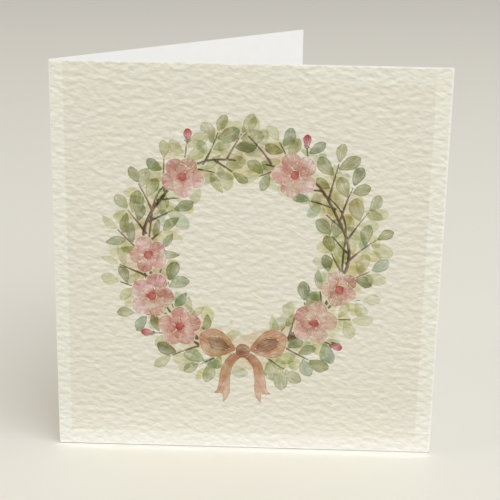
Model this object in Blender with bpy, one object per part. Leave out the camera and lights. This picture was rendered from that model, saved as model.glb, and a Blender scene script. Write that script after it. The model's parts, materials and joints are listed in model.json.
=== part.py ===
"""A folded greeting card that stands open: two flat leaves of board and the crease between them.

Run with: blender --background --python part.py, or from Blender's text editor.

Lengths are in metres and +Z is up. The card stands on its bottom edges with its fold
upright. The front leaf lies along +X with its face to -Y, and the back leaf swings about
the fold. The origin is on the table, under the middle of the standing card's outline.
"""

import math

import bpy

MM = 0.001

# The shut card, the board it is cut from, and how far it stands open
CARD_WIDTH = 145 * MM
CARD_HEIGHT = 150 * MM
BOARD_THICKNESS = 0.35 * MM
OPEN_ANGLE = math.radians(50)

# Room at the fold, so that the leaves lie flat together and clear the crease at every angle
SHUT_GAP = 0.3 * MM
CREASE_CLEARANCE = 0.3 * MM
CREASE_SIDES = 32

# Sizes that follow: the crease is as thick as the folded board, with its axis between the leaves
CREASE_RADIUS = SHUT_GAP / 2 + BOARD_THICKNESS
LEAF_START = CREASE_RADIUS + CREASE_CLEARANCE
LEAF_END = CARD_WIDTH - CREASE_RADIUS

# sRGB colours of the printed face, the plain board and the crease
FACE_CREAM = (0.90, 0.88, 0.80)
BOARD_WHITE = (0.95, 0.94, 0.92)
CREASE_WHITE = (0.93, 0.92, 0.88)
PAPER_ROUGHNESS = 0.85


def clear_scene():
    """Remove every object that the scene holds."""
    for thing in list(bpy.data.objects):
        bpy.data.objects.remove(thing, do_unlink=True)


def to_linear(srgb):
    """Return an sRGB colour as the linear RGBA that a shader takes."""
    linear = [c / 12.92 if c <= 0.04045 else ((c + 0.055) / 1.055) ** 2.4 for c in srgb]
    return (*linear, 1.0)


def paper(name, srgb):
    """Return a matt, uncoated paper of the given colour."""
    material = bpy.data.materials.new(name)
    material.use_nodes = True
    shader = material.node_tree.nodes["Principled BSDF"]
    shader.inputs["Base Color"].default_value = to_linear(srgb)
    shader.inputs["Roughness"].default_value = PAPER_ROUGHNESS
    shader.inputs["Metallic"].default_value = 0.0
    return material


def fold_place():
    """Return where the fold's axis meets the table when the open card is centred on the origin."""
    across = LEAF_END - CREASE_RADIUS
    back_corner = LEAF_END * math.sin(OPEN_ANGLE) + CREASE_RADIUS * math.cos(OPEN_ANGLE)
    return (-across / 2, -(back_corner - CREASE_RADIUS) / 2, 0.0)


def add_fold_axis(collection):
    """Add the empty that marks the foot of the fold's axis, which the whole card hangs from."""
    axis = bpy.data.objects.new("fold_axis", None)
    axis.empty_display_size = 10 * MM
    axis.location = fold_place()
    collection.objects.link(axis)
    return axis


def settle(thing, name, collection, axis, material):
    """Name a new object, bake its size and place into its mesh, and hang it on the fold's axis."""
    bpy.ops.object.transform_apply(location=True, rotation=True, scale=True)
    thing.name = name
    thing.data.name = name
    thing.data.materials.append(material)
    for holder in list(thing.users_collection):
        holder.objects.unlink(thing)
    collection.objects.link(thing)
    thing.parent = axis
    return thing


def add_leaf(name, side, collection, axis, material):
    """Add a flat leaf that runs from the crease along +X; side is the way its outer face looks in Y."""
    bpy.ops.mesh.primitive_cube_add(size=1)
    leaf = bpy.context.object
    leaf.scale = (LEAF_END - LEAF_START, BOARD_THICKNESS, CARD_HEIGHT)
    middle = (SHUT_GAP + BOARD_THICKNESS) / 2
    leaf.location = ((LEAF_START + LEAF_END) / 2, side * middle, CARD_HEIGHT / 2)
    return settle(leaf, name, collection, axis, material)


def add_crease(collection, axis, material):
    """Add the bent strip of board along the fold as a round bar on the axis."""
    bpy.ops.mesh.primitive_cylinder_add(
        vertices=CREASE_SIDES, radius=CREASE_RADIUS, depth=CARD_HEIGHT
    )
    crease = bpy.context.object
    crease.location = (0, 0, CARD_HEIGHT / 2)
    settle(crease, "crease", collection, axis, material)
    crease.data.shade_smooth()
    crease.data.set_sharp_from_angle(angle=math.radians(30))
    return crease


def build_card():
    """Build the open card in a collection of its own."""
    clear_scene()
    collection = bpy.data.collections.new("greeting_card")
    bpy.context.scene.collection.children.link(collection)
    axis = add_fold_axis(collection)
    add_leaf("front_leaf", -1, collection, axis, paper("cream_printed_board", FACE_CREAM))
    add_crease(collection, axis, paper("creased_board", CREASE_WHITE))
    back = add_leaf("back_leaf", 1, collection, axis, paper("white_board", BOARD_WHITE))
    back.rotation_euler.z = OPEN_ANGLE


build_card()
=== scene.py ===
import json
import math
import random

import bmesh
import bpy
import numpy as np
from mathutils import Matrix, Vector, noise


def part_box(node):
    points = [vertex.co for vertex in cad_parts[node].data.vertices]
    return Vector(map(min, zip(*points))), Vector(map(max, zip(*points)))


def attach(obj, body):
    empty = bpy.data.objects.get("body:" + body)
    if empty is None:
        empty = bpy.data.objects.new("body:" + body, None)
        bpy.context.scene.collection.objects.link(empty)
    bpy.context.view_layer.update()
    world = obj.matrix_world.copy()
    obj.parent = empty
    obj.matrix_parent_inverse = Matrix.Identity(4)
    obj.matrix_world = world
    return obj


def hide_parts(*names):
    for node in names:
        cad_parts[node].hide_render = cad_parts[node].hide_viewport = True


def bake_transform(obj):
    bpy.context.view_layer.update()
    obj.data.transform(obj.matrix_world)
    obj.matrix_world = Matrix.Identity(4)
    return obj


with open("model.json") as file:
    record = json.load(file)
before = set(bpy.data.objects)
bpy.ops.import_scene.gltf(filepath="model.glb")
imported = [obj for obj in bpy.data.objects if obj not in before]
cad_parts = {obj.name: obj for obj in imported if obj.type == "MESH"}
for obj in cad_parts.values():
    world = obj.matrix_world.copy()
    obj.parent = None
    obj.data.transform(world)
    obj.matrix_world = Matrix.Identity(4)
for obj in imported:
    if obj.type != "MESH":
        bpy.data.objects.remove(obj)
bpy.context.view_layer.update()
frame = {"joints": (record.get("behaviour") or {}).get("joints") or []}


# ---------------------------------------------------------------------------
# Front leaf: the board
# One half of a sheet of 300 gram uncoated board, guillotined square. Its outer side
# carries the felt mark of watercolour paper, its inner side is smooth, and the blade
# left its cut edges a little rounded.
# ---------------------------------------------------------------------------

MM = 0.001
fold = frame["joints"][0]
fold_x, fold_y, _ = fold["pos_m"]
standing_angle = math.radians(-fold["range_deg"][0])
leaf_low, leaf_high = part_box("front_leaf")
board_thickness = leaf_high.y - leaf_low.y
leaf_gap = fold_y - leaf_high.y
leaf_width = leaf_high.x - fold_x
leaf_height = leaf_high.z
CUT_ROUNDING = 0.17 * MM
CUT_DRAG = 0.015 * MM  # how far the blade drew the outer side down along its cuts
FOLD_TRIM = 0.03 * MM  # keeps the leaves' ends apart when the card lies open flat
SAME_PLACE = 0.01 * MM  # points nearer than this to a place are taken to be on it
SMOOTH_BELOW = math.radians(25)
OUTER_SIDE, INNER_SIDE, CUT_EDGE = range(3)

# The felt mark: short ridges, bent by a slow wave, with a finer mark of the same kind over them
FELT_CUTS = (5, 5, 7)  # cuts each way, one round after another, to points about 0.5 mm apart
FELT_LENGTH = 3.0 * MM
FELT_SPACING = 1.75 * MM
FELT_RELIEF = 0.08 * MM
FELT_SLANT = 0.05  # how much the ridges run downhill, towards the front leaf's free edge
FINE_SCALE = 2.1  # how many times finer the finer mark is, and its strength
FINE_STRENGTH = 0.6
WAVE_LENGTH = 6 * MM
WAVE_BEND = 0.15  # in ridges
FELT_SEED = 4  # so that the wave is the same one every time
FOOT_STRENGTH = 0.6  # its strength at the bottom edge, which was pressed flatter, and where it is full again
FOOT_REACH = 9 * MM
SLOPE_STEP = 0.45 * MM  # how far apart two heights are compared, to tell a ridge's upper side from its lower

# The shares of a board's map: the outer side, where the inner side's strip starts and its width, and
# where the cut edges' bands start, how far apart they are and how high each is
MAP_OUTER = 0.9
MAP_INNER = (0.91, 0.08)
MAP_CUTS = (0.92, 0.017, 0.012)


def put_away(selected=()):
    """Leave edit mode, and leave only the given objects selected."""
    if bpy.context.object and bpy.context.object.mode != "OBJECT":
        bpy.ops.object.mode_set(mode="OBJECT")
    bpy.ops.object.select_all(action="DESELECT")
    for thing in selected:
        thing.select_set(True)
        bpy.context.view_layer.objects.active = thing


def pick(thing, kind, wanted):
    """In edit mode, select only the edges or faces that the test accepts."""
    bpy.ops.mesh.select_mode(type=kind)
    bpy.ops.mesh.select_all(action="DESELECT")
    mesh = bmesh.from_edit_mesh(thing.data)
    for part in mesh.edges if kind == "EDGE" else mesh.faces:
        part.select_set(wanted(part))
    bmesh.update_edit_mesh(thing.data)


def cut_board(name, outer):
    """Add a leaf of board that runs along +X from the fold's axis, with its cut edges rounded.

    Its outer side faces -Y where outer is -1, and +Y where it is 1.
    """
    put_away()
    bpy.ops.mesh.primitive_cube_add(
        size=1,
        location=((FOLD_TRIM + leaf_width) / 2, outer * (leaf_gap + board_thickness / 2), leaf_height / 2),
        scale=(leaf_width - FOLD_TRIM, board_thickness, leaf_height),
    )
    board = bpy.context.object
    board.name = name
    board.data.name = name
    bpy.ops.object.transform_apply(location=True, rotation=True, scale=True)
    bpy.ops.object.mode_set(mode="EDIT")
    pick(board, "EDGE", lambda edge: max(corner.co.x for corner in edge.verts) > leaf_width / 2)
    bpy.ops.mesh.bevel(offset=CUT_ROUNDING, offset_type="OFFSET", segments=3)
    put_away([board])
    for face in board.data.polygons:
        if face.area < leaf_width * leaf_height / 2:
            face.material_index = CUT_EDGE
        elif face.normal.y * outer > 0:
            face.material_index = OUTER_SIDE
        else:
            face.material_index = INNER_SIDE
    return board


def felt_height(x, z):
    """Return how far the felt of the drying press raised the paper at a place, as a share of its relief."""
    wave = noise.noise_vector((x / WAVE_LENGTH, 0, z / WAVE_LENGTH))
    along = x / FELT_LENGTH + WAVE_BEND * wave.x
    over = (z + FELT_SLANT * x) / FELT_SPACING + WAVE_BEND * wave.z
    place = Vector((along, 0, over))
    strength = FOOT_STRENGTH + (1 - FOOT_STRENGTH) * min(1, max(0, z / FOOT_REACH))
    return strength * (noise.noise(place) + FINE_STRENGTH * noise.noise(place * FINE_SCALE))


def press_felt(board, outer):
    """Raise a board's outer side by the felt mark, which runs on over the fold and stops at the cuts."""
    bpy.ops.object.mode_set(mode="EDIT")
    pick(board, "FACE", lambda face: face.material_index == OUTER_SIDE)
    for cuts in FELT_CUTS:
        bpy.ops.mesh.subdivide(number_cuts=cuts, smoothness=0)
    put_away([board])
    mesh = board.data
    off_the_side = [face for face in mesh.polygons if face.material_index != OUTER_SIDE]
    on_edge = {corner for face in off_the_side for corner in face.vertices}
    surface = outer * (leaf_gap + board_thickness)
    heights = [felt_height(-outer * point.co.x, point.co.z) for point in mesh.vertices]
    below = [felt_height(-outer * point.co.x, point.co.z - SLOPE_STEP) for point in mesh.vertices]
    for point, height in zip(mesh.vertices, heights):
        past_cut = max(point.co.x - leaf_width, point.co.z - leaf_height) + CUT_ROUNDING
        if point.index not in on_edge:
            point.co.y += outer * FELT_RELIEF * height
        elif abs(past_cut) < SAME_PLACE and abs(point.co.y - surface) < SAME_PLACE:
            point.co.y -= outer * CUT_DRAG
    mesh.attributes.new("felt", "FLOAT", "POINT").data.foreach_set("value", heights)
    # The slopes carry the painted shade and painted light on the ridges' lower and upper sides
    slopes = [under - height for height, under in zip(heights, below)]
    mesh.attributes.new("felt_slope", "FLOAT", "POINT").data.foreach_set("value", slopes)
    bpy.ops.object.shade_smooth_by_angle(angle=SMOOTH_BELOW)


def numbers_of(items, name, width=1):
    """Return one property of all a mesh's points, faces or corners as rows of numbers."""
    found = np.empty(len(items) * width)
    items.foreach_get(name, found)
    return found.reshape(-1, width)


def lay_flat(board, outer):
    """Lay a board out on its map: its outer side large, its inner side beside it, its cut edges above."""
    mesh = board.data
    corners_each = numbers_of(mesh.polygons, "loop_total").ravel().astype(int)
    side_of = np.repeat(numbers_of(mesh.polygons, "material_index").ravel(), corners_each)
    on_point = numbers_of(mesh.loops, "vertex_index").ravel().astype(int)
    whole = (leaf_width, board_thickness, leaf_height)
    across, deep, up = (numbers_of(mesh.vertices, "co", 3)[on_point] / whole).T
    deep = outer * deep - leaf_gap / board_thickness
    middle = np.repeat(numbers_of(mesh.polygons, "center", 3), corners_each, axis=0)
    from_edges = np.stack((middle[:, 0], leaf_width - middle[:, 0], middle[:, 2], leaf_height - middle[:, 2]))
    edge = from_edges.argmin(0)
    strip_start, strip_width = MAP_INNER
    bands_start, bands_apart, band_height = MAP_CUTS
    along_cut = MAP_OUTER * np.where(edge < 2, up, across)
    cuts = np.stack((along_cut, bands_start + bands_apart * edge + band_height * deep), 1)
    outer_side = np.stack((MAP_OUTER * across, MAP_OUTER * up), 1)
    inner_side = np.stack((strip_start + strip_width * across, MAP_OUTER * up), 1)
    flat = np.where((side_of == OUTER_SIDE)[:, None], outer_side, cuts)
    flat = np.where((side_of == INNER_SIDE)[:, None], inner_side, flat)
    mesh.uv_layers.remove(mesh.uv_layers[0])
    mesh.uv_layers.new(name="OFBake").uv.foreach_set("vector", flat.astype("float32").ravel())


def stand_at_fold(thing, angle):
    """Turn a piece about the fold's axis, move it there and keep its place in its mesh."""
    thing.location = (fold_x, fold_y, 0)
    thing.rotation_euler.z = angle
    put_away([thing])
    bpy.ops.object.transform_apply(location=True, rotation=True, scale=True)


noise.seed_set(FELT_SEED)
front = cut_board("front_leaf_board", -1)
press_felt(front, -1)
lay_flat(front, -1)
stand_at_fold(front, 0)
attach(front, "front")
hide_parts("front_leaf")


# ---------------------------------------------------------------------------
# Front leaf: the painted wreath
# A floral wreath painted in watercolour and printed in matt pigment inks: twined twigs
# tied with a ribbon bow, and over them leaves, five-petal blossoms and buds. Each mark
# is laid out in millimetres on the leaf, from the fold and from the bottom edge.
# ---------------------------------------------------------------------------

CREAM = "#ddd8c4"  # the ground as it looks in soft light, which the colours below were mixed against
LEAF_GREENS = ("#9fa183", "#b0b08e", "#bfbd9b", "#a5aa90", "#c6c3a1", "#a8a883")
PALE_GREENS = ("#c5c3a0", "#bcbfa2", "#c9c39b", "#bfbc98")
PETAL_PINKS = ("#cca6a0", "#c29790", "#d4b4ad")
BLOSSOM_RED = "#ba746b"
SEPAL_GREEN = "#85855f"
RIBBON_TAN = "#c9ac92"
RIBBON_SHADE = "#a88b75"
TWIG_BROWN = "#83766a"

wreath_middle = np.array((71.0, 78.5))
wreath_reach = 37.5  # from the middle to the line of the ring
dice = random.Random(4)


def to_linear(hex_colour):
    """Return an sRGB hex colour as linear RGBA."""
    srgb = [int(hex_colour[i : i + 2], 16) / 255 for i in (1, 3, 5)]
    linear = [c / 12.92 if c <= 0.04045 else ((c + 0.055) / 1.055) ** 2.4 for c in srgb]
    return (*linear, 1.0)


def as_wash(hex_colour):
    """Return the share of each light that an ink lets through, from how it looks dry on the cream ground."""
    return [ink / ground for ink, ground in zip(to_linear(hex_colour), to_linear(CREAM))]


def heading(degrees):
    """Return a step of one millimetre in a direction, counted from +X towards up."""
    return np.array((math.cos(math.radians(degrees)), math.sin(math.radians(degrees))))


def brush_mark(colour, foot, turn, length, width, belly=1.0, fullness=0.8, bow=0.0, **load):
    """Lay out a leaf- or petal-shaped mark from its foot; belly moves its widest part out, bow bends it."""
    u = (1 - np.cos(np.linspace(0, math.pi, 17))) / 2
    half = width / 2 * np.maximum(np.sin(math.pi * u**belly), 0) ** fullness
    bent = np.outer(4 * u * (1 - u) * bow * length, heading(turn + 90))
    spine = foot + np.outer(u * length, heading(turn)) + bent
    side = np.outer(half, heading(turn + 90))
    mark = {"colour": colour, "drop": colour, "body": 1.0, "streaks": 0.5, "drop_load": 0.0}
    mark.update(load, foot=np.array(foot), turn=turn, length=length, bow=bow)
    mark["outline"] = np.vstack((spine + side, (spine - side)[-2:0:-1]))
    return mark


def depth_in(outline, points):
    """Return how deep each point lies inside an outline, in millimetres, and less than nothing outside it."""
    run = np.roll(outline, -1, axis=0) - outline
    to = points[:, None] - outline
    share = ((to * run).sum(-1) / np.maximum((run * run).sum(-1), 1e-9)).clip(0, 1)
    far = np.linalg.norm(to - share[..., None] * run, axis=-1).min(1)
    above = outline[:, 1] > points[:, 1, None]
    above_next = np.roll(outline[:, 1], -1) > points[:, 1, None]
    rise = np.where(run[:, 1] == 0, 1e-9, run[:, 1])
    crossing = outline[:, 0] + run[:, 0] * (points[:, 1, None] - outline[:, 1]) / rise
    inside = ((above != above_next) & (points[:, 0, None] < crossing)).sum(1) % 2 == 1
    return np.where(inside, far, -far)


LARGEST_REACH = 22  # marks with their middles further apart than this don't touch
AGAINST = 0.25  # and this near to a mark counts as covered


def share_covered(mark, others):
    """Return the share of a mark that lies on or against other marks."""
    middle = mark["outline"].mean(0)
    samples = middle + np.vstack([(mark["outline"] - middle) * size for size in (0.4, 0.8)])
    hit = np.zeros(len(samples), bool)
    for other in others:
        if np.linalg.norm(other["outline"].mean(0) - middle) < LARGEST_REACH:
            hit |= depth_in(other["outline"], samples) > -AGAINST
    return hit.mean()


# Blossoms: the angle on the ring, how far out of its line and the petals' length of each
BLOSSOMS = (
    (230, 0, 8.0),
    (206, 1, 8.8),
    (181, -1.5, 7.2),
    (316, 0, 8.4),
    (341, 0.5, 7.4),
    (60, -1.5, 8.2),
    (128, 0, 7.6),
)
PETAL_ANGLE = 72
PETAL_ROWS = ((0.62, 36), (1.0, 0))  # each row's share of the full length, and its turn
PETAL_START = 1.2
EYE_LENGTH = 3.6
EYE_WIDTH = 3.3
petals = []
for place, out, size in BLOSSOMS:
    middle = wreath_middle + heading(place) * (wreath_reach + out)
    first = dice.uniform(0, PETAL_ANGLE)
    eye_foot = middle - heading(first) * (EYE_LENGTH / 2)
    petals.append(brush_mark(BLOSSOM_RED, eye_foot, first, EYE_LENGTH, EYE_WIDTH, fullness=0.6, body=1.1))
    for share, shift in PETAL_ROWS:
        for number in range(5):
            turn = first + shift + PETAL_ANGLE * number + dice.uniform(-6, 6)
            length = size * share * dice.uniform(0.92, 1.06) - PETAL_START
            pink = dice.choice(PETAL_PINKS)
            petals.append(brush_mark(pink, middle + heading(turn) * PETAL_START, turn, length, length,
                                     belly=1.35, fullness=0.62, bow=dice.uniform(-0.05, 0.05),
                                     body=dice.uniform(0.45, 0.65), streaks=0.8,
                                     drop=BLOSSOM_RED, drop_load=0.45))

# Bow: a knot over two loops, each with its shaded inside, and two tails with notched ends
KNOT_LENGTH = 5.4
KNOT_WIDTH = 5.6
LOOP_LEAN = 68  # degrees from upright
LOOP_LENGTH = 15.5
LOOP_WIDTH = 11.5
INSIDE_LENGTH = 9.5
INSIDE_WIDTH = 5.2
TAIL_OUT = 9.5
TAIL_DOWN = 19
TAIL_LENGTH = 21
TAIL_HALF_WIDTH = 1.5  # at the knot, and how much wider it gets by its end
TAIL_SPREAD = 1.3
TAIL_NOTCH = 2.6
RIBBON_LOAD = {"drop": RIBBON_SHADE, "drop_load": 0.5, "streaks": 0.8}
knot = wreath_middle - (0, wreath_reach + 0.5)
bow = [brush_mark(RIBBON_SHADE, knot - (KNOT_LENGTH / 2, 0), 0, KNOT_LENGTH, KNOT_WIDTH, fullness=0.35)]
for side in (-1, 1):
    turn = 90 - side * LOOP_LEAN
    bow.append(brush_mark(RIBBON_SHADE, knot + (side * 4.6, 1.0), turn, INSIDE_LENGTH, INSIDE_WIDTH,
                          belly=1.2, bow=side * -0.05))
    bow.append(brush_mark(RIBBON_TAN, knot + (side * 2.2, 0.3), turn, LOOP_LENGTH, LOOP_WIDTH,
                          belly=1.35, fullness=0.7, bow=side * -0.06, **RIBBON_LOAD))
    down = np.linspace(0, 1, 14)
    tail_across = side * (1.2 + TAIL_OUT * down + 1.6 * np.sin(5.2 * down))
    tail_up = -1.5 - TAIL_DOWN * down + 1.2 * np.sin(7 * down)
    middle_line = knot + np.stack((tail_across, tail_up), 1)
    along = np.gradient(middle_line, axis=0)
    along /= np.linalg.norm(along, axis=1)[:, None]
    half = np.stack((-along[:, 1], along[:, 0]), 1) * (TAIL_HALF_WIDTH + TAIL_SPREAD * down)[:, None]
    tail_turn = math.degrees(math.atan2(-TAIL_DOWN, side * TAIL_OUT))
    tail = brush_mark(RIBBON_TAN, middle_line[0], tail_turn, TAIL_LENGTH, 2 * TAIL_HALF_WIDTH, **RIBBON_LOAD)
    notch = middle_line[-1] - along[-1] * TAIL_NOTCH
    tail["outline"] = np.vstack((middle_line + half, notch, (middle_line - half)[::-1]))
    bow.append(tail)

# Twigs: two thick ones and two thin ones that wind round them, from the bow up both sides. Each has the
# angles it starts and ends at, where its sway starts and how far it goes, and its half width at both ends
TWIGS = (
    (272, 96, 0, 0.9, 0.85, 0.35),
    (268, 438, 90, 0.9, 0.85, 0.35),
    (278, 130, 180, 1.3, 0.55, 0.3),
    (262, 400, 270, 1.3, 0.55, 0.3),
)
TWIG_POINTS = 60


def on_ring(angle, weave=0.0, sway=0.0):
    """Return the place of an angle on the hand-drawn ring, or on a twig that sways in and out along it."""
    uneven = 0.9 * math.sin(math.radians(3 * angle + 40))
    out = wreath_reach + uneven + sway * math.sin(math.radians(7 * angle + weave))
    return wreath_middle + heading(angle) * out


twigs = []
for start, end, weave, sway, thick, thin in TWIGS:
    line = np.array([on_ring(angle, weave, sway) for angle in np.linspace(start, end, TWIG_POINTS)])
    twigs.append((line, np.linspace(thick, thin, TWIG_POINTS)))

# Sprigs: they leave the twigs outward and inward in turn, with leaves on both sides, and a leaf or a bud
# at the tip
SPRIGS_A_SIDE = 25
SPRIGS_WITH_BUDS = (4, 9, 15, 20)
STEM_JOINTS = 7
STEM_LEAN = (34, 52)  # degrees from the line of the ring
STEM_CURL = 14
OUTWARD_STEM = (12, 16.5)
INWARD_STEM = (8.5, 11.5)
SHORTER_BY = 0.18  # towards the top of the wreath
OUTWARD_NODES = (0.82, 0.64, 0.46, 0.28)  # where leaves grow, as shares of the stem's length
INWARD_NODES = (0.78, 0.52, 0.28)
LEAF_LENGTH = (6.4, 8.8)
LEAF_SPREAD = (42, 62)  # degrees from the stem
ROUND_LEAF = {"belly": 1.35, "fullness": 0.62}
ROUND_WIDTH = (0.52, 0.64)  # of the leaf's length
LONG_LEAF = {"belly": 0.85, "fullness": 0.9}
LONG_WIDTH = (0.36, 0.46)
BUD_LENGTH = 4.6
BUD_WIDTH = 3.1
BUD_TIP = 5.2  # from the end of the stem
SEPAL_LENGTH = 2.6
SEPAL_WIDTH = 1.1
SEPAL_SPREAD = 24
leaves, pale_leaves, buds = [], [], []
for start, end in ((266, 98), (274, 438)):
    for number in range(SPRIGS_A_SIDE):
        share = (number + 0.6) / SPRIGS_A_SIDE
        angle = start + (end - start) * share
        outward = number % 2 == 0
        clockwise = end < start
        lean = dice.uniform(*STEM_LEAN) * (1 if outward == clockwise else -1)
        turn = angle + (-90 if clockwise else 90) + lean
        length = dice.uniform(*(OUTWARD_STEM if outward else INWARD_STEM)) * (1 - SHORTER_BY * share)
        curl = dice.uniform(-STEM_CURL, STEM_CURL)
        stem = [on_ring(angle)]
        for joint in range(STEM_JOINTS):
            stem.append(stem[-1] + heading(turn + curl * joint / STEM_JOINTS) * length / STEM_JOINTS)
        stem = np.array(stem)
        twigs.append((stem, np.linspace(0.42, 0.24, STEM_JOINTS + 1)))
        green = dice.choice(LEAF_GREENS)
        round_leaved = dice.random() < 0.7
        for count, up in enumerate((1.0, *(OUTWARD_NODES if outward else INWARD_NODES))):
            hand = 0 if up == 1.0 else (-1) ** count
            foot = np.array([np.interp(up * STEM_JOINTS, range(STEM_JOINTS + 1), line) for line in stem.T])
            leaf_turn = turn + curl * up + hand * dice.uniform(*LEAF_SPREAD) + dice.uniform(-8, 8)
            size = dice.uniform(*LEAF_LENGTH) * (0.85 + 0.3 * up if hand else 1.0)
            width = size * dice.uniform(*(ROUND_WIDTH if round_leaved else LONG_WIDTH))
            if up == 1.0 and outward and number in SPRIGS_WITH_BUDS:
                tip = foot + heading(leaf_turn) * BUD_TIP
                buds.append(brush_mark(PETAL_PINKS[1], tip, leaf_turn + 180, BUD_LENGTH, BUD_WIDTH, belly=0.8,
                                       fullness=0.75, drop=BLOSSOM_RED, drop_load=1.2, streaks=1.0))
                sepal_foot = foot - heading(leaf_turn) * 0.3
                for spread in (-SEPAL_SPREAD, SEPAL_SPREAD):
                    sepal_turn = leaf_turn + spread
                    buds.append(brush_mark(SEPAL_GREEN, sepal_foot, sepal_turn, SEPAL_LENGTH, SEPAL_WIDTH))
                continue
            leaf_green = green if dice.random() < 0.6 else dice.choice(LEAF_GREENS)
            leaf = brush_mark(leaf_green, foot + heading(leaf_turn) * 0.5, leaf_turn, size, width,
                              bow=dice.uniform(-0.08, 0.08), body=dice.uniform(0.6, 1.0),
                              **(ROUND_LEAF if round_leaved else LONG_LEAF))
            if share_covered(leaf, petals + bow + leaves + buds) < 0.3:
                leaves.append(leaf)
            elif share_covered(leaf, petals + bow + pale_leaves) < 0.35:
                leaf["colour"] = dice.choice(PALE_GREENS)
                pale_leaves.append(leaf)

# Pale leaves further back fill the ring between the sprigs
PALE_LEAVES_TRIED = 300
PALE_LENGTH = (6.0, 9.0)
PALE_WIDTH = (3.4, 5.2)
for _ in range(PALE_LEAVES_TRIED):
    angle = dice.uniform(-86, 266)
    foot = on_ring(angle) + heading(angle) * dice.uniform(-7.5, 9.5)
    green = dice.choice(PALE_GREENS)
    turn = angle + dice.choice((-1, 1)) * dice.uniform(20, 150)
    leaf = brush_mark(green, foot, turn, dice.uniform(*PALE_LENGTH), dice.uniform(*PALE_WIDTH),
                      belly=1.2, fullness=0.65, bow=dice.uniform(-0.1, 0.1), body=0.8)
    if share_covered(leaf, petals + bow) < 0.4 and share_covered(leaf, pale_leaves) < 0.3:
        pale_leaves.append(leaf)

# The marks go onto the face's points: how far each point is along, across and inside its mark, and the
# mark's inks
FAR_OUT = -3.0  # how deep in a mark a point is said to be that is nowhere near one
GAP_BETWEEN_MARKS = 0.22
sheet = (numbers_of(front.data.vertices, "co", 3)[:, (0, 2)] - (fold_x, 0)) / MM


def lay_marks(layer, marks, covered):
    """Write marks into a layer from the topmost down, each kept clear of what already covers the face."""
    for mark in marks:
        low, high = mark["outline"].min(0) + FAR_OUT / 2, mark["outline"].max(0) - FAR_OUT / 2
        near = np.flatnonzero(((sheet > low) & (sheet < high)).all(1))
        points = sheet[near]
        depth = np.minimum(depth_in(mark["outline"], points), -covered[near] - GAP_BETWEEN_MARKS)
        offset = points - mark["foot"]
        u = offset @ heading(mark["turn"]) / mark["length"]
        v = offset @ heading(mark["turn"] + 90) - 4 * u * (1 - u) * mark["bow"] * mark["length"]
        top = depth > layer["place"][near, 2]
        hit = near[top]
        layer["place"][hit] = np.stack((u, v, depth), 1)[top]
        layer["ink"][hit] = as_wash(mark["colour"])
        layer["drop"][hit] = as_wash(mark["drop"])
        layer["load"][hit] = (mark["body"], mark["streaks"], mark["drop_load"])
        if layer["covers"]:
            covered[near] = np.maximum(covered[near], depth)


def new_layer(covers):
    """Start an unpainted layer; covers says whether what is laid after it keeps clear of its marks."""
    count = len(sheet)
    return {
        "place": np.tile((0, 0, FAR_OUT), (count, 1)),
        "ink": np.ones((count, 4)),
        "drop": np.ones((count, 4)),
        "load": np.zeros((count, 3)),
        "covers": covers,
    }


def keep_on_points(mesh, name, values):
    """Store a layer's values on the mesh's points, as a vector or a colour."""
    kind, slot = ("FLOAT_VECTOR", "vector") if values.shape[1] == 3 else ("FLOAT_COLOR", "color")
    mesh.attributes.new(name, kind, "POINT").data.foreach_set(slot, values.astype("float32").ravel())


covered = np.full(len(sheet), FAR_OUT)
painted = new_layer(covers=True)
lay_marks(painted, petals + bow, covered)
glaze = new_layer(covers=False)
lay_marks(glaze, pale_leaves, covered)
under_blossoms = covered.copy()
lay_marks(painted, buds + leaves, covered)

twig_place = np.tile((FAR_OUT, 0.0, 0.0), (len(sheet), 1))
for line, half_width in twigs:
    low, high = line.min(0) - 2, line.max(0) + 2
    near = np.flatnonzero(((sheet > low) & (sheet < high)).all(1))
    points = sheet[near]
    run = np.diff(line, axis=0)
    to = points[:, None] - line[:-1]
    share = ((to * run).sum(-1) / (run * run).sum(-1)).clip(0, 1)
    off = to - share[..., None] * run
    far = np.linalg.norm(off, axis=-1)
    nearest = far.argmin(1)
    rows = np.arange(len(points))
    reach_in = half_width[nearest] - far[rows, nearest]
    reach_in = np.minimum(reach_in, -under_blossoms[near] - GAP_BETWEEN_MARKS)
    side = np.sign(run[nearest, 0] * off[rows, nearest, 1] - run[nearest, 1] * off[rows, nearest, 0])
    top = reach_in > twig_place[near, 0]
    twig_place[near[top], :2] = np.stack((reach_in, side * far[rows, nearest]), 1)[top]

keep_on_points(front.data, "mark_place", painted["place"])
keep_on_points(front.data, "mark_ink", painted["ink"])
keep_on_points(front.data, "mark_drop", painted["drop"])
keep_on_points(front.data, "mark_load", painted["load"])
keep_on_points(front.data, "glaze_place", glaze["place"])
keep_on_points(front.data, "glaze_ink", glaze["ink"])
keep_on_points(front.data, "twig_place", twig_place)


# ---------------------------------------------------------------------------
# Front leaf: the paper and its inks
# Felt-marked watercolour paper: the felt of the drying press leaves short wavy ridges
# about 3 mm long and 1.75 mm apart. The print lays a cream ground to a white margin, with
# the wreath's washes over it, darker where they pooled at their rims.
# ---------------------------------------------------------------------------

PAPER_WHITE = "#f5f4e8"
CORE_WHITE = "#fffdf6"
TOOTH_SPACING = 0.35 * MM
# Painted shade in the tooth's hollows and painted light on its tips, as shares of the paper's colour
TOOTH_PAINTED_SHADE_AND_LIGHT = (0.985, 1.015)

# Painted shade on the lower side and painted light on the upper side of each felt ridge, as if lit from
# above: the shares of red, green and blue that they give back, against level paper, and how steep the paper
# is where they are reached
LOWER_SIDE_PAINTED_SHADE = (0.87, 0.864, 0.832)
UPPER_SIDE_PAINTED_LIGHT = (1.13, 1.134, 1.162)
STEEPEST = 0.5


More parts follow.
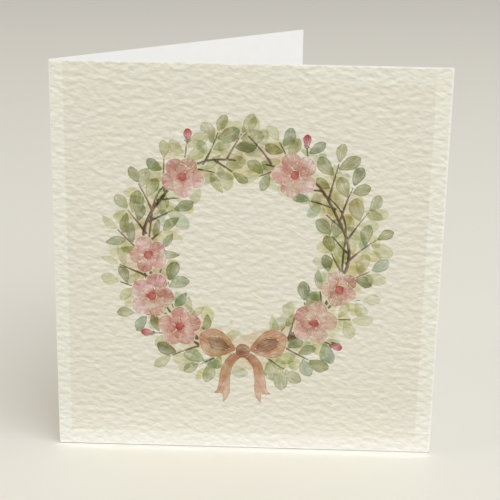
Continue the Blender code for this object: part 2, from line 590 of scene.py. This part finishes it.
def node(tree, kind, *wires, **settings):
    """Add a node. Wires go to its inputs in order, and a setting with a capital names an input."""
    made = tree.nodes.new("ShaderNode" + kind)
    own = {name: value for name, value in settings.items() if name[0].islower()}
    for name, value in own.items():
        setattr(made, name, value)
    pairs = list(zip([socket for socket in made.inputs if socket.enabled], wires))
    pairs += [(made.inputs[name.replace("_", " ")], settings[name]) for name in settings if name not in own]
    for socket, value in pairs:
        if isinstance(value, bpy.types.Node):
            value = next(output for output in value.outputs if output.enabled)
        if isinstance(value, bpy.types.NodeSocket):
            tree.links.new(value, socket)
        elif value is not None:
            socket.default_value = value
    return made


def new_paper(name, roughness):
    """Start an uncoated paper's material: return it with its tree, its shader and the Object coordinates."""
    material = bpy.data.materials.new(name)
    material.use_nodes = True
    tree = material.node_tree
    shader = tree.nodes["Principled BSDF"]
    shader.inputs["Roughness"].default_value = roughness
    shader.inputs["Specular IOR Level"].default_value = 0.3
    return material, tree, shader, node(tree, "TexCoord").outputs["Object"]


def add_tooth(tree, shader, place, height):
    """Bump a paper by the fine tooth of its fibres, and return the tooth's painted shade and light: darker in
    its hollows, lighter on its tips.
    """
    fibres = node(tree, "TexNoise", Vector=place, Scale=1 / TOOTH_SPACING, Detail=2.0)
    bump = node(tree, "Bump", Height=fibres, Distance=height, Strength=1.0)
    tree.links.new(bump.outputs[0], shader.inputs["Normal"])
    return node(tree, "MapRange", fibres, 0.3, 0.7, *TOOTH_PAINTED_SHADE_AND_LIGHT)


def paint_felt_light_and_shade(tree, colour):
    """Paint shade onto a paper's colour, darker and warmer, on the lower side of the felt mark's ridges, and
    painted light on their upper side.
    """
    slope = node(tree, "Attribute", attribute_name="felt_slope").outputs["Fac"]
    upper = node(tree, "MapRange", slope, -STEEPEST, STEEPEST)
    felt_painted_light_and_shade = node(tree, "MixRGB", upper, (*LOWER_SIDE_PAINTED_SHADE, 1), (*UPPER_SIDE_PAINTED_LIGHT, 1))
    return node(tree, "MixRGB", 1.0, colour, felt_painted_light_and_shade, blend_type="MULTIPLY")


def colour_paper(tree, shader, colour, tooth):
    """Darken and lighten a colour by the painted shade and light of the paper's tooth, and give it to the
    paper.
    """
    shaded = node(tree, "VectorMath", colour, operation="SCALE", Scale=tooth)
    tree.links.new(shaded.outputs[0], shader.inputs["Base Color"])


paper, tree, shader, place = new_paper("felt_marked_watercolour_paper", 0.85)
tooth = add_tooth(tree, shader, place, 0.02 * MM)
across_up = node(tree, "SeparateXYZ", place)
felt = node(tree, "Attribute", attribute_name="felt").outputs["Fac"]

# The cream ground stops 5 mm from the fold and 6 mm from the cut edges, with a softly wetted rim
MARGINS = {"left": 4.8 * MM, "right": 6.0 * MM, "bottom": 6.0 * MM, "top": 6.3 * MM}
GROUND_RIM = (-0.3 * MM, 0.35 * MM)
CREAM_BLOTCHES = ("#efebdb", "#eeebde")
BLOTCH_SPACING = 14 * MM
ground_right = leaf_high.x - MARGINS["right"]
ground_top = leaf_height - MARGINS["top"]
in_from_left = node(tree, "Math", across_up.outputs["X"], fold_x + MARGINS["left"], operation="SUBTRACT")
in_from_right = node(tree, "Math", ground_right, across_up.outputs["X"], operation="SUBTRACT")
in_from_bottom = node(tree, "Math", across_up.outputs["Z"], MARGINS["bottom"], operation="SUBTRACT")
in_from_top = node(tree, "Math", ground_top, across_up.outputs["Z"], operation="SUBTRACT")
in_sideways = node(tree, "Math", in_from_left, in_from_right, operation="MINIMUM")
in_upright = node(tree, "Math", in_from_bottom, in_from_top, operation="MINIMUM")
in_ground = node(tree, "Math", in_sideways, in_upright, operation="MINIMUM")
printed = node(tree, "MapRange", in_ground, *GROUND_RIM, interpolation_type="SMOOTHSTEP")

# Over the top margin it runs on thinly, and more thinly still towards the free corner
THINS_FROM = fold_x + 75 * MM
THINS_TO = fold_x + 98 * MM
in_overrun = node(tree, "Math", in_sideways, in_from_bottom, operation="MINIMUM")
overrun = node(tree, "MapRange", in_overrun, *GROUND_RIM, interpolation_type="SMOOTHSTEP")
thinness = node(tree, "MapRange", across_up.outputs["X"], THINS_FROM, THINS_TO, 0.85, 0.4)
overrun = node(tree, "Math", overrun, thinness, operation="MULTIPLY")
printed = node(tree, "Math", printed, overrun, operation="MAXIMUM")
blotches = node(tree, "TexNoise", Vector=place, Scale=1 / BLOTCH_SPACING, Detail=3.0)
blotched = node(tree, "MapRange", blotches, 0.35, 0.65)
cream = node(tree, "MixRGB", blotched, *[to_linear(tone) for tone in CREAM_BLOTCHES])
ground = node(tree, "MixRGB", printed, to_linear(PAPER_WHITE), cream)

# The edge of a brush mark wavers with the brush and the paper's tooth, its wash pools here and there, and
# its grit settles between the ridges of the felt mark
WAVER_SPACING = 2.2 * MM
POOL_SPACING = 5 * MM
waver = node(tree, "TexNoise", Vector=place, Scale=1 / WAVER_SPACING, Detail=3.0, Roughness=0.6)
pooling = node(tree, "TexNoise", Vector=place, Scale=1 / POOL_SPACING, Detail=2.0)
pool = node(tree, "MapRange", pooling, 0.3, 0.7, -0.35, 0.45)
grit = node(tree, "MapRange", felt, -0.4, 0.4, 1.12, 0.88)


def waver_by(depth, amount):
    """Move a mark's edge in and out, by up to half of an amount in millimetres."""
    moved = node(tree, "Math", waver, amount, depth, operation="MULTIPLY_ADD")
    return node(tree, "Math", moved, amount / 2, operation="SUBTRACT")


# A brush mark is streaked along its length, and darker at its rim, where its wash dried last
STREAKS_EACH_WAY = (1.6, 2.6, 0.3)
THINNEST_WASH = 0.12
DROP_REACH = 0.75  # of the mark's length
mark_place = node(tree, "Attribute", attribute_name="mark_place").outputs["Vector"]
mark_load = node(tree, "SeparateXYZ", node(tree, "Attribute", attribute_name="mark_load").outputs["Vector"])
mark_ink = node(tree, "Attribute", attribute_name="mark_ink").outputs["Color"]
mark_drop = node(tree, "Attribute", attribute_name="mark_drop").outputs["Color"]
mark_axes = node(tree, "SeparateXYZ", mark_place)
mark_edge = waver_by(mark_axes.outputs["Z"], 0.7)
mark_cover = node(tree, "MapRange", mark_edge, -0.07, 0.09, interpolation_type="SMOOTHSTEP")
mark_rim = node(tree, "MapRange", mark_edge, 0.05, 0.6, 0.5, 0.0)
along_brush = node(tree, "Mapping", mark_place, Scale=STREAKS_EACH_WAY)
streak_lines = node(tree, "TexNoise", Vector=along_brush, Scale=1.0, Detail=2.0)
streak = node(tree, "MapRange", streak_lines, 0.35, 0.65, -0.5, 0.6)
shaded = node(tree, "Math", streak, mark_load.outputs["Y"], mark_load.outputs["X"], operation="MULTIPLY_ADD")
pooled = node(tree, "Math", shaded, pool, operation="ADD")
rimmed = node(tree, "Math", pooled, mark_rim, operation="ADD")
at_least = node(tree, "Math", rimmed, THINNEST_WASH, operation="MAXIMUM")
mark_density = node(tree, "Math", at_least, mark_cover, operation="MULTIPLY")
mark_density = node(tree, "Math", mark_density, grit, operation="MULTIPLY")

# A drop of darker ink, let into the wet mark at its foot, spreads up it
to_foot = node(tree, "MapRange", mark_axes.outputs["X"], 0.0, DROP_REACH, 1.0, 0.0)
drop_fade = node(tree, "Math", to_foot, 2.2, operation="POWER")
drop_density = node(tree, "Math", drop_fade, mark_load.outputs["Z"], operation="MULTIPLY")
drop_density = node(tree, "Math", drop_density, mark_cover, operation="MULTIPLY")

# The pale leaves are one flat, soft-edged glaze
glaze_place = node(tree, "Attribute", attribute_name="glaze_place").outputs["Vector"]
glaze_ink = node(tree, "Attribute", attribute_name="glaze_ink").outputs["Color"]
glaze_edge = waver_by(node(tree, "SeparateXYZ", glaze_place).outputs["Z"], 0.9)
glaze_cover = node(tree, "MapRange", glaze_edge, -0.1, 0.2, interpolation_type="SMOOTHSTEP")
glaze_load = node(tree, "Math", pool, 0.9, operation="ADD")
glaze_density = node(tree, "Math", glaze_cover, glaze_load, operation="MULTIPLY")

# Twigs are darker along one side
twig_axes = node(tree, "SeparateXYZ", node(tree, "Attribute", attribute_name="twig_place").outputs["Vector"])
twig_edge = waver_by(twig_axes.outputs["X"], 0.35)
twig_cover = node(tree, "MapRange", twig_edge, -0.1, 0.12, interpolation_type="SMOOTHSTEP")
twig_side = node(tree, "MapRange", twig_axes.outputs["Y"], -0.4, 0.4, 0.65, 1.35)
twig_load = node(tree, "Math", pool, twig_side, operation="ADD")
twig_density = node(tree, "Math", twig_cover, twig_load, operation="MULTIPLY")

# Soft wet washes under the foliage, in a broken band round the ring
WASH_INKS = ("#ccc9a4", "#cfbfa0")
WASH_BAND = (4 * MM, 17 * MM)  # from the ring, where the washes start to thin out and where they end
CLOUD_SPACING = 9 * MM
HUE_SPACING = 16 * MM
ring_x = node(tree, "Math", across_up.outputs["X"], fold_x + wreath_middle[0] * MM, operation="SUBTRACT")
ring_z = node(tree, "Math", across_up.outputs["Z"], wreath_middle[1] * MM, operation="SUBTRACT")
ring_out = node(tree, "Math", node(tree, "Math", ring_x, ring_x, operation="MULTIPLY"),
                node(tree, "Math", ring_z, ring_z, operation="MULTIPLY"), operation="ADD")
ring_out = node(tree, "Math", ring_out, 0.5, operation="POWER")
off_ring = node(tree, "Math", ring_out, (wreath_reach + 1) * MM, operation="SUBTRACT")
off_ring = node(tree, "Math", off_ring, operation="ABSOLUTE")
near_ring = node(tree, "MapRange", off_ring, *WASH_BAND, 1.0, 0.0)
clouds = node(tree, "TexNoise", Vector=place, Scale=1 / CLOUD_SPACING, Detail=3.0)
cloud_edge = node(tree, "Math", near_ring, 0.45, clouds, operation="MULTIPLY_ADD")
wash_cover = node(tree, "MapRange", cloud_edge, 0.78, 0.9, interpolation_type="SMOOTHSTEP")
wash_load = node(tree, "Math", pool, 0.8, operation="ADD")
wash_density = node(tree, "Math", wash_cover, wash_load, operation="MULTIPLY")
hue_drift = node(tree, "TexNoise", Vector=place, Scale=1 / HUE_SPACING, Detail=1.0)
drifted = node(tree, "MapRange", hue_drift, 0.42, 0.58)
wash_ink = node(tree, "MixRGB", drifted, *[as_wash(ink) for ink in WASH_INKS])

# Each ink takes its share of the light that comes through those above it, the more the denser it lies
colour = ground
for ink, density in (
    (wash_ink, wash_density),
    (as_wash(TWIG_BROWN), twig_density),
    (glaze_ink, glaze_density),
    (mark_ink, mark_density),
    (mark_drop, drop_density),
):
    colour = node(tree, "MixRGB", 1.0, colour, node(tree, "Gamma", ink, density), blend_type="MULTIPLY")

# The guillotine rubbed the print off along the cut edges, and the board's white core shows
RUBBED_BARE = 0.45 * MM
RUBBED_THIN = 0.8 * MM
to_edge_x = node(tree, "Math", leaf_high.x, across_up.outputs["X"], operation="SUBTRACT")
to_edge_up = node(tree, "Math", leaf_height, across_up.outputs["Z"], operation="SUBTRACT")
to_edge = node(tree, "Math", to_edge_x, to_edge_up, operation="MINIMUM")
to_edge = node(tree, "Math", to_edge, across_up.outputs["Z"], operation="MINIMUM")
rubbed = node(tree, "MapRange", to_edge, RUBBED_BARE, RUBBED_THIN, 1.0, 0.0)
colour = node(tree, "MixRGB", rubbed, colour, to_linear(CORE_WHITE))
# The felt mark's ridges get painted shade on their lower sides and painted light on their upper sides
colour_paper(tree, shader, paint_felt_light_and_shade(tree, colour), tooth)

# The inner side is calendered smooth; its long fibres show as the faintest clouding
CLOUDING = ("#fdfdfc", "#ffffff")
CLOUDING_SPACING = 6 * MM
smooth_paper, tree, shader, place = new_paper("calendered_uncoated_paper", 0.75)
tooth = add_tooth(tree, shader, place, 0.005 * MM)
clouds = node(tree, "TexNoise", Vector=place, Scale=1 / CLOUDING_SPACING, Detail=4.0, Roughness=0.6)
clouded = node(tree, "MapRange", clouds, 0.3, 0.7)
colour = node(tree, "MixRGB", clouded, *[to_linear(tone) for tone in CLOUDING])
colour_paper(tree, shader, colour, tooth)

# The cut edge is the board's white core, a little rough; along the foot, where the card meets the table, it
# is painted grey as shade
FOOT_SHADE_GREY = "#a39b8a"
FULL_FOOT_SHADE_UP_TO = 0.08 * MM
FOOT_SHADE_ENDS_AT = 0.25 * MM
cut_edge, tree, shader, place = new_paper("guillotined_board_edge", 0.9)
tooth = add_tooth(tree, shader, place, 0.03 * MM)
height = node(tree, "SeparateXYZ", place).outputs["Z"]
# Painted shade: the lowest fraction of a millimetre of the cut edge is painted grey
painted_foot_shade = node(tree, "MapRange", height, FULL_FOOT_SHADE_UP_TO, FOOT_SHADE_ENDS_AT, 1.0, 0.0)
colour = node(tree, "MixRGB", painted_foot_shade, to_linear(CORE_WHITE), to_linear(FOOT_SHADE_GREY))
colour_paper(tree, shader, colour, tooth)

for material in (paper, smooth_paper, cut_edge):
    front.data.materials.append(material)


# ---------------------------------------------------------------------------
# Back leaf
# The other half of the sheet, folded round behind the front. Its outer side has the same
# felt mark with nothing printed on it, and its inner side is the smooth one.
# ---------------------------------------------------------------------------

back = cut_board("back_leaf_board", 1)
press_felt(back, 1)
lay_flat(back, 1)
stand_at_fold(back, standing_angle)

# With no ink on it, only the felt mark, with painted shade and painted light on its ridges, and the fibres'
# tooth show
plain_paper, tree, shader, place = new_paper("plain_felt_marked_paper", 0.85)
tooth = add_tooth(tree, shader, place, 0.02 * MM)
colour_paper(tree, shader, paint_felt_light_and_shade(tree, to_linear(PAPER_WHITE)), tooth)
for material in (plain_paper, smooth_paper, cut_edge):
    back.data.materials.append(material)
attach(back, "back")
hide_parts("back_leaf")


# ---------------------------------------------------------------------------
# Crease
# The strip of the same board that bends round the fold. It was scored before it was folded,
# so its outside is drawn tight and its fibres have cracked a little.
# ---------------------------------------------------------------------------

CREASE_OUTSIDE = leaf_gap + board_thickness
CREASE_INSIDE = 0.6 * leaf_gap
CREASE_STEPS = 20
CREASE_RINGS = 150
FIBRE_LIFT = 0.02 * MM  # how far the drawn fibres stand up in beads, and a bead's width and length
BEAD_WIDTH = 0.6 * MM
BEAD_LENGTH = 2.5 * MM
front_end = math.radians(-90)
bend = math.radians(180) - standing_angle

put_away()
bpy.ops.mesh.primitive_grid_add(
    x_subdivisions=1,
    y_subdivisions=CREASE_RINGS,
    size=1,
    location=(0, -(CREASE_OUTSIDE + CREASE_INSIDE) / 2, leaf_height / 2),
    rotation=(math.radians(90), 0, front_end),
)
crease = bpy.context.object
crease.name = crease.data.name = "crease_strip"
crease.scale = (CREASE_OUTSIDE - CREASE_INSIDE, leaf_height, 1)
bpy.ops.object.transform_apply(location=True, rotation=True, scale=True)
bpy.ops.object.mode_set(mode="EDIT")
bpy.ops.mesh.select_all(action="SELECT")
bpy.ops.mesh.spin(steps=CREASE_STEPS, angle=bend, center=(0, 0, 0), axis=(0, 0, -1))
bpy.ops.mesh.select_all(action="SELECT")
bpy.ops.mesh.remove_doubles(threshold=0.001 * MM)
bpy.ops.mesh.normals_make_consistent(inside=False)
put_away([crease])
for face in crease.data.polygons:
    on_inside = math.hypot(face.center.x, face.center.y) < CREASE_INSIDE * 1.1
    face.material_index = int(on_inside)
for point in crease.data.vertices:
    if math.hypot(point.co.x, point.co.y) > CREASE_OUTSIDE * 0.99:
        along = Vector((point.co.x / BEAD_WIDTH, point.co.y / BEAD_WIDTH, point.co.z / BEAD_LENGTH))
        lift = 1 + FIBRE_LIFT * noise.noise(along) / CREASE_OUTSIDE
        point.co.x *= lift
        point.co.y *= lift
bpy.ops.object.shade_smooth_by_angle(angle=math.radians(40))
stand_at_fold(crease, 0)

# Folding tore the outermost fibres in short upright cracks, and the white core shows in them
CRACK_SPACING = 0.25 * MM
CRACK_LENGTH = 5 * MM
creased_paper, tree, shader, place = new_paper("scored_and_folded_paper", 0.85)
tooth = add_tooth(tree, shader, place, 0.03 * MM)
drawn_up = node(tree, "Mapping", place, Scale=(1 / CRACK_SPACING, 1 / CRACK_SPACING, 1 / CRACK_LENGTH))
cracks = node(tree, "TexNoise", Vector=drawn_up, Scale=1.0, Detail=3.0)
core_shows = node(tree, "MapRange", cracks, 0.35, 0.5)
colour = node(tree, "MixRGB", core_shows, to_linear(PAPER_WHITE), to_linear(CORE_WHITE))
colour_paper(tree, shader, colour, tooth)
crease.data.materials.append(creased_paper)
crease.data.materials.append(smooth_paper)
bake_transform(crease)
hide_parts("crease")


# ---------------------------------------------------------------------------
# Floor, lights and camera
# A matt white table that runs out of sight, on which the card stands on the high points of its
# cut edges, a hair above it. A large softbox hangs over the card, to its right, a weaker one is
# on its left, two narrow strips lift its foot, and soft light comes from all round.
# ---------------------------------------------------------------------------

TABLE_SIZE = 40
TABLE_DROP = 0.15 * MM
TABLE_WHITE = "#f6f3e9"
ROOM_WHITE = "#e7e5e2"
ROOM_STRENGTH = 0.6

put_away()
bpy.ops.mesh.primitive_plane_add(size=TABLE_SIZE, location=(0, 0, -TABLE_DROP))
floor = bpy.context.object
floor.name = "floor"
floor_paint = bpy.data.materials.new("matt_white_table")
floor_paint.use_nodes = True
floor_shader = floor_paint.node_tree.nodes["Principled BSDF"]
floor_shader.inputs["Base Color"].default_value = to_linear(TABLE_WHITE)
floor_shader.inputs["Roughness"].default_value = 0.6
floor.data.materials.append(floor_paint)

world = bpy.data.worlds.new("soft room light")
bpy.context.scene.world = world
world.use_nodes = True
world.node_tree.nodes["Background"].inputs["Color"].default_value = to_linear(ROOM_WHITE)
world.node_tree.nodes["Background"].inputs["Strength"].default_value = ROOM_STRENGTH


def area_light(name, place, aim, size, power, colour, height=None, spread=180):
    """Add a soft light aimed at a point. With a height it is a strip, and a small spread narrows its beam."""
    lamp = bpy.data.lights.new(name, "AREA")
    lamp.size = size
    if height:
        lamp.shape = "RECTANGLE"
        lamp.size_y = height
    lamp.spread = math.radians(spread)
    lamp.energy = power
    lamp.color = to_linear(colour)[:3]
    holder = bpy.data.objects.new(name, lamp)
    holder.location = place
    holder.rotation_euler = (Vector(aim) - Vector(place)).to_track_quat("-Z", "Y").to_euler()
    bpy.context.scene.collection.objects.link(holder)


area_light(
    "overhead softbox", place=(0.98, -1.05, 2.1), aim=(0, -0.05, 0.05), size=2.3, power=35.0, colour="#fafdff"
)
# The low strip lies on the table and grazes the card's foot
area_light(
    "low strip", place=(0, -0.42, 0.012), aim=(0, 0, 0.002), size=0.3, height=0.004, power=0.0021,
    colour="#e0e3ff", spread=6,
)
area_light(
    "left fill", place=(-3.5, -0.6, 1.2), aim=(0, 0, 0.07), size=2.0, power=4.0, colour="#fff2e2", spread=80
)
# The foot strip shines down on the table just before the card
area_light(
    "foot strip", place=(0, leaf_low.y - 0.302, 0.3), aim=(0, leaf_low.y - 0.002, 0), size=leaf_width,
    height=0.003, power=0.00035, colour="#d2deff", spread=0.9,
)

# The camera looks down at the card from a little to the right of its middle
LENS = 86.51
EYE_RIGHT = 0.01017
EYE_OFF = 0.42811  # from the front leaf's face
EYE_UP = 0.20979
TURN, LOOKS_DOWN, ROLL = 1.215, 16.77, 1.045  # degrees
camera_data = bpy.data.cameras.new("camera")
camera_data.sensor_width = 36.0
camera_data.lens = LENS
camera = bpy.data.objects.new("camera", camera_data)
eye = Matrix.Translation((EYE_RIGHT, leaf_low.y - EYE_OFF, EYE_UP))
turn = Matrix.Rotation(math.radians(TURN), 4, "Z")
tilt = Matrix.Rotation(math.radians(90 - LOOKS_DOWN), 4, "X")
roll = Matrix.Rotation(math.radians(ROLL), 4, "Z")
camera.matrix_world = eye @ turn @ tilt @ roll
bpy.context.scene.collection.objects.link(camera)
bpy.context.scene.camera = camera
bpy.context.scene.view_settings.view_transform = "Standard"

put_away()
